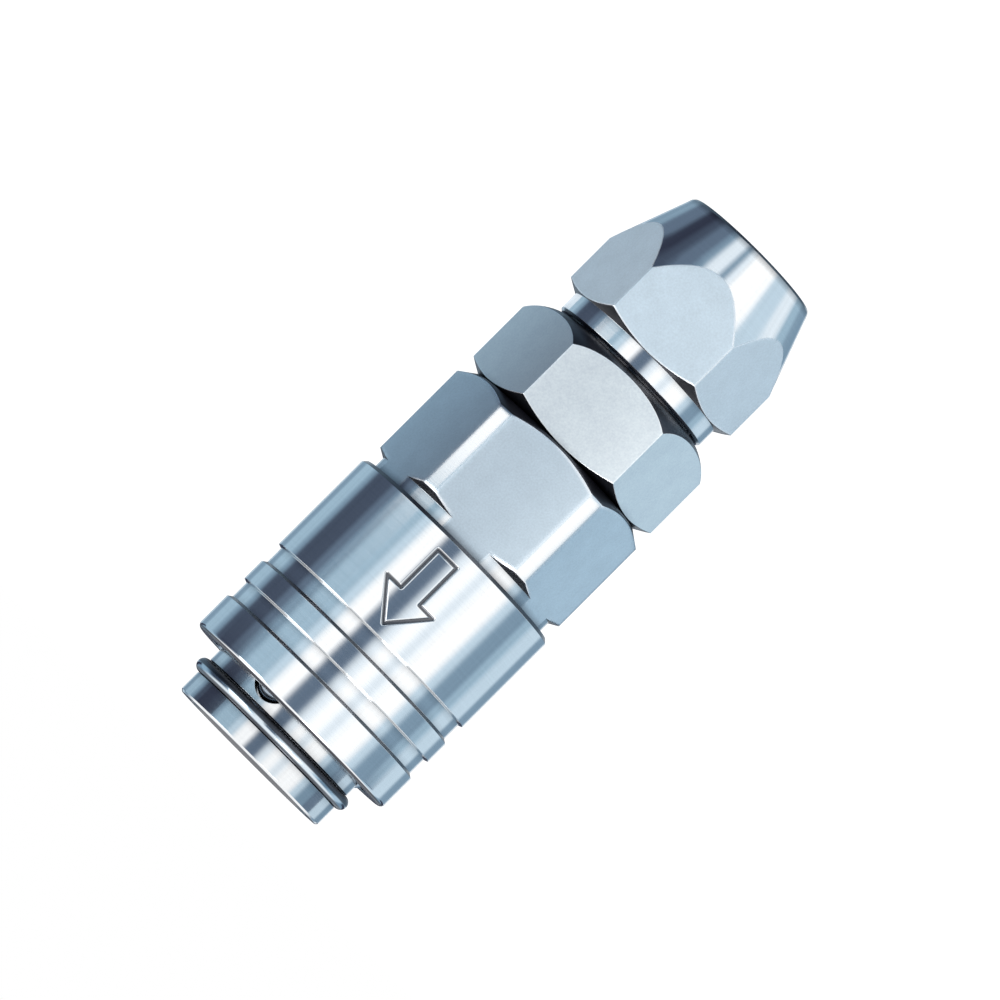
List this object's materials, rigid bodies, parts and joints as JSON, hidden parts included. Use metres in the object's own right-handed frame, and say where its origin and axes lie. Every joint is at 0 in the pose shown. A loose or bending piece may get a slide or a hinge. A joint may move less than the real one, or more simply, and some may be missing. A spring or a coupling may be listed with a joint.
{
  "type": "quick coupling",
  "caption": "Ball-lock quick coupling socket with a sliding sleeve, a shut-off valve and a nut that clamps a hose on its nipple.",
  "frame": {"origin": "centre of the hose nut's end face, on which the part stands", "axes": "+Z along the axis towards the mouth that takes the plug; a flat of each hex looks along -Y"},
  "size_m": [0.025, 0.025, 0.0687],
  "materials": {
    "plated_steel": "zinc plated, turned and milled, satin on the flats",
    "plated_steel_pale": "zinc plated, finely turned",
    "sleeve_steel": "zinc plated, finely turned and bright",
    "nut_steel": "zinc plated, turned",
    "ball_steel": "hardened and polished",
    "spring_wire": "drawn wire, bright",
    "carrier_brass": "turned, plain",
    "seal_rubber": "black nitrile, matt"
  },
  "bodies": {
    "housing": {"socket_body": "plated_steel", "snap_ring": "spring_wire", "adapter": "plated_steel_pale", "adapter_o_ring": "seal_rubber", "seal_carrier": "carrier_brass", "carrier_o_ring": "seal_rubber", "plug_packing": "seal_rubber", "valve_guide": "carrier_brass", "sleeve_spring": "spring_wire", "retainer_spring": "spring_wire", "valve_spring": "spring_wire"},
    "locking_sleeve": {"sleeve": "sleeve_steel"},
    "retaining_collar": {"ball_retainer": "ball_steel"},
    "ball_1": {"lock_ball_1": "ball_steel"},
    "ball_2": {"lock_ball_2": "ball_steel"},
    "ball_3": {"lock_ball_3": "ball_steel"},
    "poppet": {"valve": "carrier_brass", "valve_seal": "seal_rubber"},
    "clamp_nut": {"hose_nut": "nut_steel"}
  },
  "joints": [
    {"name": "sleeve_slide", "type": "slide", "parent": "housing", "child": "locking_sleeve", "axis": [0, 0, 1], "range_m": [0, 0.0039], "deforming": ["sleeve_spring"]},
    {"name": "retainer_slide", "type": "slide", "parent": "housing", "child": "retaining_collar", "axis": [0, 0, 1], "range_m": [-0.00585, 0], "deforming": ["retainer_spring"]},
    {"name": "ball_1_slide", "type": "slide", "parent": "housing", "child": "ball_1", "axis": [-0.3502, 0.9367, 0], "range_m": [0, 0.001]},
    {"name": "ball_2_slide", "type": "slide", "parent": "housing", "child": "ball_2", "axis": [-0.6361, -0.7716, 0], "range_m": [0, 0.001]},
    {"name": "ball_3_slide", "type": "slide", "parent": "housing", "child": "ball_3", "axis": [0.9863, -0.165, 0], "range_m": [0, 0.001]},
    {"name": "valve_slide", "type": "slide", "parent": "housing", "child": "poppet", "axis": [0, 0, 1], "range_m": [-0.0045, 0], "stiffness_N_per_m": 1500, "springref_m": 0.002, "deforming": ["valve_spring"]},
    {"name": "nut_turn", "type": "hinge", "parent": "housing", "child": "clamp_nut", "pos_m": [0, 0, 0.0084], "axis": [0, 0, 1], "continuous": true}
  ],
  "couplings": [
    {"joint": "retainer_slide", "follows": "sleeve_slide", "ratio": -1.5},
    {"joint": "ball_1_slide", "follows": "sleeve_slide", "ratio": 0.25641},
    {"joint": "ball_2_slide", "follows": "sleeve_slide", "ratio": 0.25641},
    {"joint": "ball_3_slide", "follows": "sleeve_slide", "ratio": 0.25641}
  ]
}
